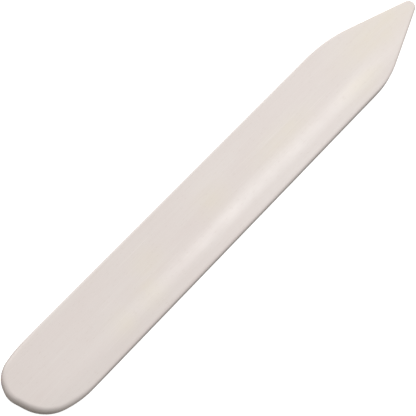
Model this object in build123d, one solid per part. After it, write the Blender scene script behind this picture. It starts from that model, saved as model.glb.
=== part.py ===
from build123d import *
import os
from math import copysign, radians, sqrt, tan

# Bone folder: a flat hand tool for creasing, scoring and burnishing paper, cut from a single strip of bone.
#
# Frame: +X runs along the tool to its point, +Y lies to the left of the point and +Z is up. The origin is
# the middle of the flat underside. Lengths are in millimetres and angles in degrees.

# Outline, seen from above: the corners of a straight-sided shape, anticlockwise from the left side of the
# round end, each rounded to a radius of its own. The blade narrows a little towards the shoulders. Shaped by
# hand, its two sides are not quite alike.
OUTLINE_CORNERS = [  # x, y, radius
    (-66.7, 9.91, 32.0),  # left edge, easing into the round end
    (-73.7, 8.75, 7.2),  # left of the round end
    (-76.55, 3.0, 5.4),  # middle of the round end
    (-74.0, -6.8, 10.2),  # right of the round end
    (-64.6, -9.92, 25.5),  # round end, easing into the right edge
    (54.9, -9.48, 26.0),  # right shoulder
    (79.55, 0.3, 1.7),  # tip
    (51.0, 9.47, 46.0),  # left shoulder
]
LENGTH = 152.4  # over the rounded outline
WIDTH = 19.8

# Upper side: flat from the left edge to one soft ridge, then a shallow bevel down to the right edge
THICKNESS = 3.4
UPPER_RIDGE_Y = -4.0
UPPER_RIDGE_RADIUS = 50.0
UPPER_BEVEL_ANGLE = 6.5
UPPER_TIP_DROP = 0.5
UPPER_ROUND_END_DROP = 0.15

# Underside: the flat that the tool rests on, with a slight bevel up to each edge
LOWER_RIDGE_Y = 6.2  # and its mirror image
LOWER_RIDGE_RADIUS = 20.0
LOWER_BEVEL_ANGLE = 3.5
LOWER_TIP_RISE = 0.3
LOWER_ROUND_END_RISE = 0.1

# The last stretch at each end, over which both sides curve towards each other
TIP_EASING_LENGTH = 28.0
ROUND_END_EASING_LENGTH = 12.0

EDGE_RADIUS = 0.6  # rounding above and below, all the way round
CLEARANCE = 3.0  # by which each trimming solid stands clear of the finished tool
REACH = WIDTH / 2 + CLEARANCE
UPRIGHT_TOLERANCE = 0.01  # largest Z of the unit normal on a face that counts as an upright wall


def rounded_face(corners):
    """A flat face whose corners, given as (x, y, radius), are rounded by tangent arcs."""
    points = [(x, y) for x, y, radius in corners]
    radii = [radius for x, y, radius in corners]
    return make_face(FilletPolyline(*points, radius=radii, close=True))


def sawn_strip():
    """The outline cut straight down through a strip that is thicker than the finished tool."""
    return Pos(0, 0, -CLEARANCE) * extrude(rounded_face(OUTLINE_CORNERS), THICKNESS + 2 * CLEARANCE)


def easing_arc(x, height, run, change):
    """An arc that leaves the level at x and has changed height by change after run, and then goes on."""
    radius = (run**2 + change**2) / (2 * change)
    reach = run + copysign(CLEARANCE, run)
    end_change = radius - copysign(sqrt(radius**2 - reach**2), change)
    return TangentArc((x, 0, height), (x + reach, 0, height + end_change), tangent=(run, 0, 0))


def side_line(height, round_end_change, tip_change):
    """A side's line from the round end to the tip: level, but curving to another height at each end."""
    level_start = -LENGTH / 2 + ROUND_END_EASING_LENGTH
    level_end = LENGTH / 2 - TIP_EASING_LENGTH
    round_end = easing_arc(level_start, height, -ROUND_END_EASING_LENGTH, round_end_change)
    level = Line((level_start, 0, height), (level_end, 0, height))
    point = easing_arc(level_end, height, TIP_EASING_LENGTH, tip_change)
    return Wire(level.edges() + point.edges() + round_end.edges())


def bevel_depth(ridge_y, angle):
    """How far a bevel has moved off the level by the time it is clear of the tool."""
    return (REACH - abs(ridge_y)) * tan(radians(angle))


def stock_behind(line, profile, back):
    """The stock behind one side. The side's profile, as (y, z, radius) corners from right to left, is closed
    through the height back, and that section is swept along the side's line."""
    section = rounded_face(profile + [(REACH, back, 0), (-REACH, back, 0)])
    return sweep(Plane(line @ 0, x_dir=(0, 1, 0), z_dir=line % 0) * section, path=line)


def stock_below_upper_side():
    profile = [
        (-REACH, -bevel_depth(UPPER_RIDGE_Y, UPPER_BEVEL_ANGLE), 0),
        (UPPER_RIDGE_Y, 0, UPPER_RIDGE_RADIUS),
        (REACH, 0, 0),
    ]
    line = side_line(THICKNESS, -UPPER_ROUND_END_DROP, -UPPER_TIP_DROP)
    return stock_behind(line, profile, -THICKNESS - CLEARANCE)


def stock_above_underside():
    rise = bevel_depth(LOWER_RIDGE_Y, LOWER_BEVEL_ANGLE)
    profile = [
        (-REACH, rise, 0),
        (-LOWER_RIDGE_Y, 0, LOWER_RIDGE_RADIUS),
        (LOWER_RIDGE_Y, 0, LOWER_RIDGE_RADIUS),
        (REACH, rise, 0),
    ]
    line = side_line(0, LOWER_ROUND_END_RISE, LOWER_TIP_RISE)
    return stock_behind(line, profile, THICKNESS + CLEARANCE)


def sharp_edges(blade):
    """The edges above and below the upright wall, all the way round."""
    walls = blade.faces().filter_by(lambda face: abs(face.normal_at().Z) < UPRIGHT_TOLERANCE)
    return walls.edges().filter_by(Axis.Z, reverse=True)


def bone_blade():
    """The whole tool: a sawn strip, worked down to its two sides and rounded along its edges."""
    blade = sawn_strip() & stock_below_upper_side() & stock_above_underside()
    return fillet(sharp_edges(blade), EDGE_RADIUS)


os.makedirs("parts", exist_ok=True)
export_step(bone_blade(), "parts/bone_blade.step")
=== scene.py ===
import bisect
import math
import bpy
from mathutils import Matrix, Vector, noise


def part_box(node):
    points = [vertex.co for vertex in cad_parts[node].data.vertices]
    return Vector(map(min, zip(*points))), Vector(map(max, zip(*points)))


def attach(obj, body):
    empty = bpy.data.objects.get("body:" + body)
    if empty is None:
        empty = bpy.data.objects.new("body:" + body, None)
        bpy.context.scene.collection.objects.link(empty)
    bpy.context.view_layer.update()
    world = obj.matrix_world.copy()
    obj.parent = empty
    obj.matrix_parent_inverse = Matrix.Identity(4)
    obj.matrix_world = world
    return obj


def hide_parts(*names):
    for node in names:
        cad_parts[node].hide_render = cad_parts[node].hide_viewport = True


# A bone folder on a pale floor. Everything is in metres, in the CAD frame: +X runs along the tool to its
# point, +Y is to the left of the point, +Z is up, and the tool's flat underside lies at z = 0.

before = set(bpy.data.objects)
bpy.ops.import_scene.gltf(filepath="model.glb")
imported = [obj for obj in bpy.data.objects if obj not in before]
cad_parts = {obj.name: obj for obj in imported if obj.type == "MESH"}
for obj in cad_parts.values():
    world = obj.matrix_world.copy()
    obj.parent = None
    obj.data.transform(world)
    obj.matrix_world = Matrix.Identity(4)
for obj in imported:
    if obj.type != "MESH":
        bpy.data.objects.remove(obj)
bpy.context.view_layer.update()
MM = 0.001
NODE = "bone_blade"
NODE_LOW, NODE_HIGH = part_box(NODE)
THICKNESS = NODE_HIGH[2] - NODE_LOW[2]
HALF_LENGTH = (NODE_HIGH[0] - NODE_LOW[0]) / 2
scene = bpy.context.scene

# ------------------------------------------------------------------ sizes of the blade

# Outline corners as (x, y, rounding radius) in millimetres, anticlockwise from the left of the round end
OUTLINE_CORNERS = [
    (-66.7, 9.91, 32.0),
    (-73.7, 8.75, 7.2),
    (-76.55, 3.0, 5.4),
    (-74.0, -6.8, 10.2),
    (-64.6, -9.92, 25.5),
    (54.9, -9.48, 26.0),
    (79.55, 0.3, 1.7),
    (51.0, 9.47, 46.0),
]
SIDE_EDGE_RADIUS, END_EDGE_RADIUS = 0.6 * MM, 1.15 * MM  # the round end is worn rounder
WORN_FROM, WORN_TO = -56 * MM, -68 * MM  # X, between which the edge changes to its radius at the round end

# Upper side: flat from the left edge to one ridge, with a bevel from there to the right edge.
# Underside: flat, with a bevel outside each of two ridges. Each has its ridge's distance from the
# centreline, the radius the ridge turns on and the bevel's slope.
UPPER_RIDGE, UPPER_RIDGE_RADIUS, UPPER_BEVEL = 4.0 * MM, 50 * MM, math.radians(6.5)
LOWER_RIDGE, LOWER_RIDGE_RADIUS, LOWER_BEVEL = 6.2 * MM, 20 * MM, math.radians(3.5)

# Both sides curve in over the last stretch at each end: its length, and how far each side has moved there
TIP_EASING, UPPER_TIP_DROP, LOWER_TIP_RISE = 28 * MM, 0.5 * MM, 0.3 * MM
END_EASING, UPPER_END_DROP, LOWER_END_RISE = 12 * MM, 0.15 * MM, 0.1 * MM

# Hand scraping leaves the worked faces very slightly uneven, and the ridge not quite straight. Each seed is
# a place of its own in the noise.
SCRAPE_DEPTH = 0.02 * MM
SCRAPE_LENGTH, SCRAPE_WIDTH = 24 * MM, 7 * MM
SCRAPE_CONTRAST = 1.6
UPPER_SCRAPE_SEED, LOWER_SCRAPE_SEED = 11.0, 37.0
RIDGE_WANDER, RIDGE_WANDER_LENGTH, RIDGE_SEED = 0.25 * MM, 30 * MM, 3.0

# Mesh density
SIDE_STEPS = 360  # along each long side
END_STEPS = 48  # across each end, and so across the blade
ROUNDING_STEPS = 9  # round each edge rounding
POINT_SPACING = 0.45 * MM  # between outline points on a straight run
POINT_TURN = math.radians(3)  # an arc also has a point for each such turn
ARC_SAMPLES = 200  # along each arc of the outline, before the outline points are chosen
BULGE_FADE = 8  # the power with which an end's curve fades out of the face's grid, away from that end
SLOPE_STEP = 0.01 * MM  # each way, to measure a face's slope at the edge
GRID_CORNER = 45  # degrees from the X axis to the outline's normal where the faces' grids have their corners

# Wear is 1 on the upright wall and FACE_WEAR where a face meets the edge rounding, and fades over the face.
# Besides polishing, it sets the painted shade that darkens the edge rounding and wall.
FACE_WEAR = 0.5
WEAR_REACH = 1.2 * MM  # over which it falls to about a third

# Creamier patches in the bone as (x, y, half length, half width, strength), in millimetres
CREAM_PATCHES = [
    (-43.0, -4.4, 3.2, 2.4, 0.7),
    (-32.6, -3.8, 3.6, 3.0, 0.7),
    (-27.2, 1.8, 3.6, 2.6, 0.7),
    (-3.3, 1.5, 4.0, 3.0, 0.7),
    (22.5, -0.2, 8.5, 2.3, 0.7),
    (48.7, -5.2, 6.0, 2.2, 0.8),
    (62.2, 1.6, 11.0, 4.0, 0.9),
]
CREAM_FALLOFF = 0.7  # how sharply a patch fades at its edge
CREAM_WANDER, CREAM_WANDER_LENGTH = 0.5, 4 * MM  # unevenness of the patches' edges, and its size

# ------------------------------------------------------------------ the blade's upper side and underside


def ridge_drop(outward, ridge, radius, bevel):
    """How far a side has fallen: level, then an arc over the ridge, then a straight bevel."""
    into_arc = outward - (ridge - radius * math.tan(bevel / 2))
    if into_arc <= 0:
        return 0.0
    arc_width = radius * math.sin(bevel)
    if into_arc < arc_width:
        return radius - math.sqrt(radius**2 - into_arc**2)
    return radius * (1 - math.cos(bevel)) + (into_arc - arc_width) * math.tan(bevel)


def end_drop(x, tip_change, round_end_change):
    """How far a side has curved in at x, near the tip or the round end."""
    past_tip = max(0.0, x - (HALF_LENGTH - TIP_EASING)) / TIP_EASING
    past_end = max(0.0, -x - (HALF_LENGTH - END_EASING)) / END_EASING
    return tip_change * past_tip**2 + round_end_change * past_end**2


def scraping(x, y, seed):
    """How far the scraper has gone below the true face, from 0 to SCRAPE_DEPTH."""
    place = Vector((x / SCRAPE_LENGTH, y / SCRAPE_WIDTH, seed))
    level = max(-1.0, min(1.0, SCRAPE_CONTRAST * noise.noise(place)))
    return SCRAPE_DEPTH * (0.5 + 0.5 * level)


def upper(x, y):
    """The height of the upper side."""
    wander = RIDGE_WANDER * noise.noise(Vector((x / RIDGE_WANDER_LENGTH, RIDGE_SEED, 0.0)))
    drop = ridge_drop(-y, UPPER_RIDGE + wander, UPPER_RIDGE_RADIUS, UPPER_BEVEL)
    drop += end_drop(x, UPPER_TIP_DROP, UPPER_END_DROP)
    return THICKNESS - drop - scraping(x, y, UPPER_SCRAPE_SEED)


def lower(x, y):
    """The height of the underside."""
    rise = ridge_drop(abs(y), LOWER_RIDGE, LOWER_RIDGE_RADIUS, LOWER_BEVEL)
    rise += end_drop(x, LOWER_TIP_RISE, LOWER_END_RISE)
    return rise + scraping(x, y, LOWER_SCRAPE_SEED)


def cream_at(place):
    """How creamy the bone is at a point, from 0 to 1."""
    wander = CREAM_WANDER * noise.noise(place / CREAM_WANDER_LENGTH)
    cream = 0.0
    for x, y, half_length, half_width, strength in CREAM_PATCHES:
        off = ((place.x / MM - x) / half_length) ** 2 + ((place.y / MM - y) / half_width) ** 2
        cream = max(cream, strength * math.exp(-max(0.0, CREAM_FALLOFF * off + wander)))
    return min(1.0, cream)


# ------------------------------------------------------------------ the outline


def outline_arcs():
    """The rounded corners as (centre, radius, turn), in metres and radians, and the first normal's angle."""
    points = [Vector((x * MM, y * MM)) for x, y, radius in OUTLINE_CORNERS]
    arcs = []
    for i, (x, y, radius) in enumerate(OUTLINE_CORNERS):
        before = (points[i] - points[i - 1]).normalized()
        after = (points[(i + 1) % len(points)] - points[i]).normalized()
        turn = math.atan2(before.x * after.y - before.y * after.x, before.dot(after))
        start = points[i] - before * (radius * MM * math.tan(turn / 2))
        arcs.append((start + Vector((-before.y, before.x)) * radius * MM, radius * MM, turn))
    first_run = points[0] - points[-1]
    return arcs, math.atan2(-first_run.x, first_run.y)


def facing(angle):
    return Vector((math.cos(angle), math.sin(angle)))


def outline_samples():
    """(normal's angle, position, mesh points so far), twice round anticlockwise, so no stretch is broken."""
    arcs, angle = outline_arcs()
    samples = []
    count = 0.0
    for centre, radius, turn in arcs * 2:
        start = centre + radius * facing(angle)
        if samples:
            count += (start - samples[-1][1]).length / POINT_SPACING
        arc_count = turn * radius / POINT_SPACING + turn / POINT_TURN
        for k in range(ARC_SAMPLES + 1):
            share = k / ARC_SAMPLES
            here = angle + turn * share
            samples.append((here, centre + radius * facing(here), count + arc_count * share))
        count += arc_count
        angle += turn
    return samples


def stretch(samples, first_angle, last_angle, steps):
    """steps + 1 outline points, as (position, normal), from where the normal has one angle to another."""
    angles = [angle for angle, position, count in samples]
    counts = [count for angle, position, count in samples]
    first = counts[bisect.bisect_left(angles, first_angle)]
    last = counts[bisect.bisect_left(angles, last_angle)]
    points = []
    for step in range(steps + 1):
        wanted = first + (last - first) * step / steps
        k = bisect.bisect_right(counts, wanted)
        angle0, position0, count0 = samples[k - 1]
        angle1, position1, count1 = samples[k]
        share = (wanted - count0) / (count1 - count0)
        points.append((position0.lerp(position1, share), facing(angle0 + (angle1 - angle0) * share)))
    return points


# ------------------------------------------------------------------ the blade's mesh


def edge_radius(x):
    """The edge rounding's radius at x, which grows smoothly towards the round end."""
    worn = max(0.0, min(1.0, (x - WORN_FROM) / (WORN_TO - WORN_FROM)))
    return SIDE_EDGE_RADIUS + (END_EDGE_RADIUS - SIDE_EDGE_RADIUS) * worn**2 * (3 - 2 * worn)


def rounded_edge(point, normal, height, up):
    """The edge rounding at one outline point, from the face out to the wall. up is 1 or -1."""
    radius = edge_radius(point.x)
    centre = point - normal * radius
    reach = normal * SLOPE_STEP
    fall = height(centre.x - reach.x, centre.y - reach.y) - height(centre.x + reach.x, centre.y + reach.y)
    lean = math.atan(up * fall / (2 * SLOPE_STEP))
    middle = height(centre.x, centre.y) - up * radius / math.cos(lean)
    points = []
    for k in range(ROUNDING_STEPS + 1):
        angle = lean + (math.pi / 2 - lean) * k / ROUNDING_STEPS
        flat = centre + normal * radius * math.sin(angle)
        points.append(Vector((flat.x, flat.y, middle + up * radius * math.cos(angle))))
    return points


def border_place(k):
    """Where the k-th point round the border lies in a face's grid: (row along the blade, column across)."""
    if k < END_STEPS:
        return 0, k
    if k < END_STEPS + SIDE_STEPS:
        return k - END_STEPS, END_STEPS
    if k < 2 * END_STEPS + SIDE_STEPS:
        return SIDE_STEPS, 2 * END_STEPS + SIDE_STEPS - k
    return 2 * (END_STEPS + SIDE_STEPS) - k, 0


def face_grid(border, height):
    """Points (i along the blade, j from left to right) over a face, within its border, and their wear."""
    at = {border_place(k): point for k, point in enumerate(border)}
    points, wear_and_edge_shade = [], []
    for i in range(SIDE_STEPS + 1):
        along = i / SIDE_STEPS
        for j in range(END_STEPS + 1):
            across = j / END_STEPS
            left, right = at[i, 0], at[i, END_STEPS]
            round_end, tip = at[0, j], at[SIDE_STEPS, j]
            round_bulge = round_end - at[0, 0].lerp(at[0, END_STEPS], across)
            tip_bulge = tip - at[SIDE_STEPS, 0].lerp(at[SIDE_STEPS, END_STEPS], across)
            place = left.lerp(right, across)
            place += round_bulge * (1 - along) ** BULGE_FADE + tip_bulge * along**BULGE_FADE
            if (i, j) in at:
                place = at[i, j]
            else:
                place.z = height(place.x, place.y)
            points.append(place)
            distance = min((place - side).length for side in (left, right, round_end, tip))
            wear_and_edge_shade.append(FACE_WEAR * math.exp(-distance / WEAR_REACH))
    return points, wear_and_edge_shade


def blade_outline():
    """Outline points as (position, normal), anticlockwise: round end, right side, tip, left side."""
    samples = outline_samples()
    corner = math.radians(GRID_CORNER)
    half, full = math.pi, 2 * math.pi
    return (
        stretch(samples, half - corner, half + corner, END_STEPS)[:-1]
        + stretch(samples, half + corner, full - corner, SIDE_STEPS)[:-1]
        + stretch(samples, full - corner, full + corner, END_STEPS)[:-1]
        + stretch(samples, full + corner, full + half - corner, SIDE_STEPS)[:-1]
    )


def face_quads(lower_start):
    """The faces of the upper side's grid and of the underside's, whose first vertex is lower_start."""
    quads = []
    row = END_STEPS + 1
    for i in range(SIDE_STEPS):
        for j in range(END_STEPS):
            quad = [i * row + j, i * row + j + 1, (i + 1) * row + j + 1, (i + 1) * row + j]
            quads.append(quad)
            quads.append([lower_start + v for v in reversed(quad)])
    return quads


def rim_columns(upper_edge, lower_edge, lower_start, rim_start):
    """Down the edge at each outline point, the new vertices, numbered from rim_start, and the column of
    vertex numbers that they make with the two grids' border."""
    vertices, columns = [], []
    for k, (above, below) in enumerate(zip(upper_edge, lower_edge)):
        i, j = border_place(k)
        border = i * (END_STEPS + 1) + j
        between = above[1:] + below[:0:-1]
        start = rim_start + len(vertices)
        vertices += between
        columns.append([border, *range(start, start + len(between)), lower_start + border])
    return vertices, columns


def rim_quads(columns):
    quads = []
    for column, following in zip(columns, columns[1:] + columns[:1]):
        for r in range(len(column) - 1):
            quads.append([column[r], column[r + 1], following[r + 1], following[r]])
    return quads


def make_blade():
    outline = blade_outline()
    upper_edge = [rounded_edge(point, normal, upper, 1) for point, normal in outline]
    lower_edge = [rounded_edge(point, normal, lower, -1) for point, normal in outline]
    upper_points, upper_wear = face_grid([edge[0] for edge in upper_edge], upper)
    lower_points, lower_wear = face_grid([edge[0] for edge in lower_edge], lower)
    lower_start = len(upper_points)
    rim_start = lower_start + len(lower_points)
    rim_points, columns = rim_columns(upper_edge, lower_edge, lower_start, rim_start)
    vertices = upper_points + lower_points + rim_points
    faces = face_quads(lower_start) + rim_quads(columns)
    # Wear values down the edge rounding, which also darken it with painted shade in the bone's colour
    rounding = [FACE_WEAR + (1 - FACE_WEAR) * (r + 1) / ROUNDING_STEPS for r in range(ROUNDING_STEPS)]
    wear_and_edge_shade = upper_wear + lower_wear + (rounding + rounding[::-1]) * len(outline)
    cream = [cream_at(vertex) for vertex in vertices]

    mesh = bpy.data.meshes.new("folder_blade")
    mesh.from_pydata(vertices, [], faces)
    mesh.attributes.new("wear_and_edge_shade", "FLOAT", "POINT").data.foreach_set("value", wear_and_edge_shade)
    mesh.attributes.new("cream", "FLOAT", "POINT").data.foreach_set("value", cream)
    mesh.shade_smooth()
    blade = bpy.data.objects.new("folder_blade", mesh)
    scene.collection.objects.link(blade)
    return blade


# ------------------------------------------------------------------ camera

CAMERA_TILT = math.radians(26)  # off straight above, towards the round end
CAMERA_LEAN = math.radians(18)  # by how much that direction turns to the right side of the blade
CAMERA_ROLL = math.radians(45.505)  # turns the blade in the picture until it lies corner to corner
CAMERA_DISTANCE = 786.8 * MM
CAMERA_AIM = Vector((-4.124, 1.074, 0)) * MM
SENSOR_WIDTH, LENS = 36, 277.38  # millimetres, as Blender takes them


def make_camera():
    """The view from above, off towards the round end and slightly to the right of the blade."""
    back_x = -math.sin(CAMERA_TILT) * math.cos(CAMERA_LEAN)
    back_y = -math.sin(CAMERA_TILT) * math.sin(CAMERA_LEAN)
    back = Vector((back_x, back_y, math.cos(CAMERA_TILT)))
    left = back.cross(Vector((1, 0, 0))).normalized()
    along = left.cross(back)
    right = math.cos(CAMERA_ROLL) * along - math.sin(CAMERA_ROLL) * left
    up = math.sin(CAMERA_ROLL) * along + math.cos(CAMERA_ROLL) * left
    camera = bpy.data.objects.new("camera", bpy.data.cameras.new("camera"))
    camera.data.sensor_width = SENSOR_WIDTH
    camera.data.lens = LENS
    place = Matrix((right, up, back)).transposed().to_4x4()
    place.translation = CAMERA_AIM + back * CAMERA_DISTANCE
    camera.matrix_world = place
    scene.collection.objects.link(camera)
    scene.camera = camera


# ------------------------------------------------------------------ materials

NOISE_ROUGHNESS = 0.55


class Tree:
    """The nodes of a material or of the world. Each is made and linked in one step, and an input is given
    either another node's output or a plain value."""

    def __init__(self, owner):
        owner.use_nodes = True
        self.nodes = owner.node_tree.nodes
        self.links = owner.node_tree.links

    def set(self, socket, value):
        if isinstance(value, bpy.types.NodeSocket):
            self.links.new(value, socket)
        else:
            socket.default_value = value

    def node(self, kind, inputs, **settings):
        made = self.nodes.new(kind)
        for name, value in settings.items():
            setattr(made, name, value)
        for key, value in inputs.items():
            self.set(made.inputs[key], value)
        return made

    def math(self, operation, first, second):
        return self.node("ShaderNodeMath", {0: first, 1: second}, operation=operation).outputs[0]

    def ramp(self, value, low, high, to_low=0.0, to_high=1.0):
        """value mapped from low..high to to_low..to_high, held at the ends."""
        inputs = {"Value": value, "From Min": low, "From Max": high, "To Min": to_low, "To Max": to_high}
        return self.node("ShaderNodeMapRange", inputs).outputs[0]

    def stretched(self, place, lengths):
        """Coordinates in which one unit is as many millimetres as lengths says, along X, Y and Z."""
        scale = tuple(1 / length for length in lengths)
        return self.node("ShaderNodeVectorMath", {0: place, 1: scale}, operation="MULTIPLY").outputs[0]

    def noise(self, place, lengths, detail):
        inputs = {"Vector": self.stretched(place, lengths), "Scale": 1.0}
        inputs.update({"Detail": detail, "Roughness": NOISE_ROUGHNESS})
        return self.node("ShaderNodeTexNoise", inputs).outputs["Fac"]

    def blend(self, factor, first, second):
        mix = self.node("ShaderNodeMix", {0: factor, 6: first, 7: second}, data_type="RGBA")
        return mix.outputs[2]

    def as_seen(self, seen, otherwise):
        """One shader where the camera sees the surface itself, and another for the light that it gives."""
        path = self.node("ShaderNodeLightPath", {}).outputs["Is Camera Ray"]
        return self.node("ShaderNodeMixShader", {0: path, 1: otherwise, 2: seen}).outputs[0]

    def attribute(self, name):
        return self.node("ShaderNodeAttribute", {}, attribute_name=name).outputs["Fac"]


# ------------------------------------------------------------------ floor, world and lights

FLOOR_REACH = 6.0
FLOOR_GAP = 0.02 * MM  # by which the floor lies below the blade, so that the two don't coincide
FLOOR_PAINT, FLOOR_GLOW = 0.85, 0.8  # as the camera sees it
FLOOR_BOUNCE = 0.45  # its grey for the light that it gives back

ROOM_BRIGHTNESS = 0.80
ROOM_SLANT = (0.74, 0.6, 0.0)  # by how much it is brighter along X and Y, and darker the other way

# Softboxes that hang level and shine straight down, in metres, as (name, place, size along X and Y, radiance)
SOFTBOXES = [
    ("ceiling_panel", (0.8, 0.1, 1.1), (0.4, 1.0), 1.1),
    ("ridge_softbox", (0.49, 0.0, 1.0), (0.14, 0.1), 12.0),
    ("ridge_strip", (0.55, 0.0, 1.0), (0.36, 0.1), 1.4),
]


def grey(value):
    return (value, value, value, 1)


def make_floor():
    """A pale floor that the camera sees nearly white, but that gives back less light than a white one."""
    mesh = bpy.data.meshes.new("floor")
    corners = [(x * FLOOR_REACH, y * FLOOR_REACH, 0) for x, y in ((-1, -1), (1, -1), (1, 1), (-1, 1))]
    mesh.from_pydata(corners, [], [(0, 1, 2, 3)])
    floor = bpy.data.objects.new("floor", mesh)
    floor.location.z = -FLOOR_GAP
    scene.collection.objects.link(floor)
    material = bpy.data.materials.new("floor")
    tree = Tree(material)
    tree.nodes.clear()
    paint = tree.node("ShaderNodeBsdfDiffuse", {"Color": grey(FLOOR_PAINT)}).outputs[0]
    glow = tree.node("ShaderNodeEmission", {"Color": grey(1), "Strength": FLOOR_GLOW}).outputs[0]
    seen = tree.node("ShaderNodeAddShader", {0: paint, 1: glow}).outputs[0]
    bounce = tree.node("ShaderNodeBsdfDiffuse", {"Color": grey(FLOOR_BOUNCE)}).outputs[0]
    tree.node("ShaderNodeOutputMaterial", {"Surface": tree.as_seen(seen, bounce)})
    mesh.materials.append(material)


def make_world():
    """A pale room, brighter ahead of the point and to the left of it. The camera itself sees plain white."""
    world = bpy.data.worlds.new("studio")
    tree = Tree(world)
    tree.nodes.clear()
    direction = tree.node("ShaderNodeTexCoord", {}).outputs["Generated"]
    slant = tree.node("ShaderNodeVectorMath", {0: direction, 1: ROOM_SLANT}, operation="DOT_PRODUCT")
    strength = tree.math("MULTIPLY", tree.math("ADD", slant.outputs["Value"], 1.0), ROOM_BRIGHTNESS)
    room = tree.node("ShaderNodeBackground", {"Color": grey(1), "Strength": strength}).outputs[0]
    white = tree.node("ShaderNodeBackground", {"Color": grey(1)}).outputs[0]
    tree.node("ShaderNodeOutputWorld", {"Surface": tree.as_seen(white, room)})
    scene.world = world


def make_softbox(name, place, size, radiance):
    light = bpy.data.lights.new(name, "AREA")
    light.shape = "RECTANGLE"
    light.size, light.size_y = size
    light.energy = radiance * math.pi * size[0] * size[1]
    lamp = bpy.data.objects.new(name, light)
    lamp.location = place
    scene.collection.objects.link(lamp)


# ------------------------------------------------------------------ bone

# Colours, as linear red, green, blue and alpha
BONE = (0.800, 0.726, 0.686, 1)
PINKISH = (0.792, 0.708, 0.668, 1)
CREAM = (0.805, 0.730, 0.630, 1)
PALE = (0.825, 0.760, 0.715, 1)
GRAIN = (0.745, 0.665, 0.610, 1)
PORE = (0.50, 0.41, 0.34, 1)
# Painted shade: the darker brown that the edge rounding and upright wall are tinted towards
EDGE_SHADE = (0.62, 0.53, 0.47, 1)

# How long, wide and deep each feature is, in millimetres
CLOUD_SIZE = (16, 8, 8)
BAND_SIZE = (30, 1.6, 2.5)
GRAIN_SIZE = (7, 0.28, 0.6)
PORE_SIZE = (1.5, 0.22, 0.3)
SMUDGE_SIZE = (11, 6, 6)
SCRATCH_SIZE = (26, 0.12, 0.3)

# How finely each noise is broken up
CLOUD_DETAIL, BAND_DETAIL, GRAIN_DETAIL, SMUDGE_DETAIL, SCRATCH_DETAIL = 3, 2, 4, 3, 2

# Where in its noise, or in the wear, each feature begins and where it is in full
CLOUD_RANGE = (0.35, 0.65)
BAND_RANGE = (0.42, 0.70)
GRAIN_RANGE = (0.52, 0.75)
SMUDGE_RANGE = (0.3, 0.7)
SCRATCH_RANGE = (0.62, 0.72)
# The next is where the painted edge shade begins on the edge rounding and where it is in full, in the wear
# value
EDGE_SHADE_RANGE = (0.68, 1.0)
PORE_EDGE = (0.30, 0.12)  # distance from a cell's own point, in cells
PORE_CHOICE = (0.78, 0.80)  # of the cells' random values, so that about a fifth of them hold a pore

# How far each one takes the colour towards its own
# The last is how far the painted edge shade darkens the edge rounding and wall
BAND_TINT, GRAIN_TINT, PORE_TINT, EDGE_SHADE_TINT = 0.35, 0.30, 0.35, 0.85

# Roughness: its own range, and what scratches, pores and wear change
POLISHED, SMUDGED = 0.19, 0.25
SCRATCH_ROUGHNESS, PORE_ROUGHNESS, WEAR_POLISH = 0.10, 0.12, 0.03

SCRATCH_RELIEF = 0.35  # beside the grain's own relief and the pores' of 1
BUMP_STRENGTH, BUMP_DISTANCE = 0.25, 0.01 * MM
BONE_IOR = 1.54


def bone_pores(tree, place):
    """Sparse pores drawn out along the blade, from 0 to 1."""
    cells = tree.node("ShaderNodeTexVoronoi", {"Vector": tree.stretched(place, PORE_SIZE), "Scale": 1.0})
    value = tree.node("ShaderNodeSeparateColor", {0: cells.outputs["Color"]}).outputs[0]
    chosen = tree.ramp(value, *PORE_CHOICE)
    return tree.math("MULTIPLY", tree.ramp(cells.outputs["Distance"], *PORE_EDGE), chosen)


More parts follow.
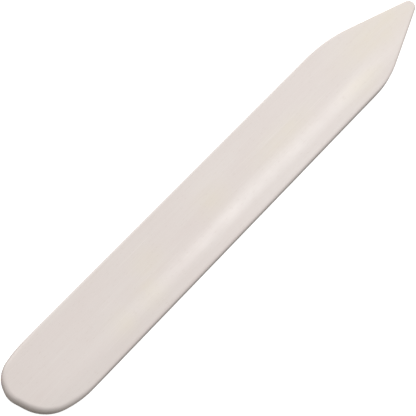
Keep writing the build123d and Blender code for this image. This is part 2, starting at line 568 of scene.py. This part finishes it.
def bone_colour(tree, place, grain, pores):
    clouds = tree.ramp(tree.noise(place, CLOUD_SIZE, CLOUD_DETAIL), *CLOUD_RANGE)
    bands = tree.ramp(tree.noise(place, BAND_SIZE, BAND_DETAIL), *BAND_RANGE, 0.0, BAND_TINT)
    # Painted shade: the outer edge rounding and the upright wall darkened towards a shaded brown, read from
    # the wear value
    painted_edge_shade = tree.ramp(tree.attribute("wear_and_edge_shade"), *EDGE_SHADE_RANGE)
    colour = tree.blend(clouds, PINKISH, BONE)
    colour = tree.blend(tree.attribute("cream"), colour, CREAM)
    colour = tree.blend(bands, colour, PALE)
    colour = tree.blend(tree.ramp(grain, *GRAIN_RANGE, 0.0, GRAIN_TINT), colour, GRAIN)
    colour = tree.blend(tree.math("MULTIPLY", pores, PORE_TINT), colour, PORE)
    return tree.blend(tree.math("MULTIPLY", painted_edge_shade, EDGE_SHADE_TINT), colour, EDGE_SHADE)


def bone_roughness(tree, place, scratches, pores):
    smudges = tree.noise(place, SMUDGE_SIZE, SMUDGE_DETAIL)
    rough = tree.ramp(smudges, *SMUDGE_RANGE, POLISHED, SMUDGED)
    rough = tree.math("ADD", rough, tree.math("MULTIPLY", scratches, SCRATCH_ROUGHNESS))
    rough = tree.math("ADD", rough, tree.math("MULTIPLY", pores, PORE_ROUGHNESS))
    return tree.math("SUBTRACT", rough, tree.math("MULTIPLY", tree.attribute("wear_and_edge_shade"), WEAR_POLISH))


def bone_bump(tree, grain, scratches, pores):
    height = tree.math("ADD", grain, tree.math("MULTIPLY", scratches, -SCRATCH_RELIEF))
    height = tree.math("SUBTRACT", height, pores)
    inputs = {"Strength": BUMP_STRENGTH, "Distance": BUMP_DISTANCE, "Height": height}
    return tree.node("ShaderNodeBump", inputs).outputs["Normal"]


def make_bone():
    """Dense bone, scraped and polished: warm white, faintly clouded, with fine grain and pores lengthwise,
    and painted shade darkening the edges.
    """
    material = bpy.data.materials.new("polished_bone")
    tree = Tree(material)
    shader = tree.nodes["Principled BSDF"]
    here = tree.node("ShaderNodeTexCoord", {}).outputs["Object"]
    place = tree.node("ShaderNodeVectorMath", {0: here, "Scale": 1 / MM}, operation="SCALE").outputs[0]
    grain = tree.noise(place, GRAIN_SIZE, GRAIN_DETAIL)
    scratches = tree.ramp(tree.noise(place, SCRATCH_SIZE, SCRATCH_DETAIL), *SCRATCH_RANGE)
    pores = bone_pores(tree, place)
    tree.set(shader.inputs["Base Color"], bone_colour(tree, place, grain, pores))
    tree.set(shader.inputs["Roughness"], bone_roughness(tree, place, scratches, pores))
    tree.set(shader.inputs["Normal"], bone_bump(tree, grain, scratches, pores))
    shader.inputs["IOR"].default_value = BONE_IOR
    return material


# ------------------------------------------------------------------ the scene

blade = make_blade()
blade.data.materials.append(make_bone())
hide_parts(NODE)
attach(blade, "root")
make_camera()
make_floor()
make_world()
for softbox in SOFTBOXES:
    make_softbox(*softbox)
scene.view_settings.view_transform = "Standard"
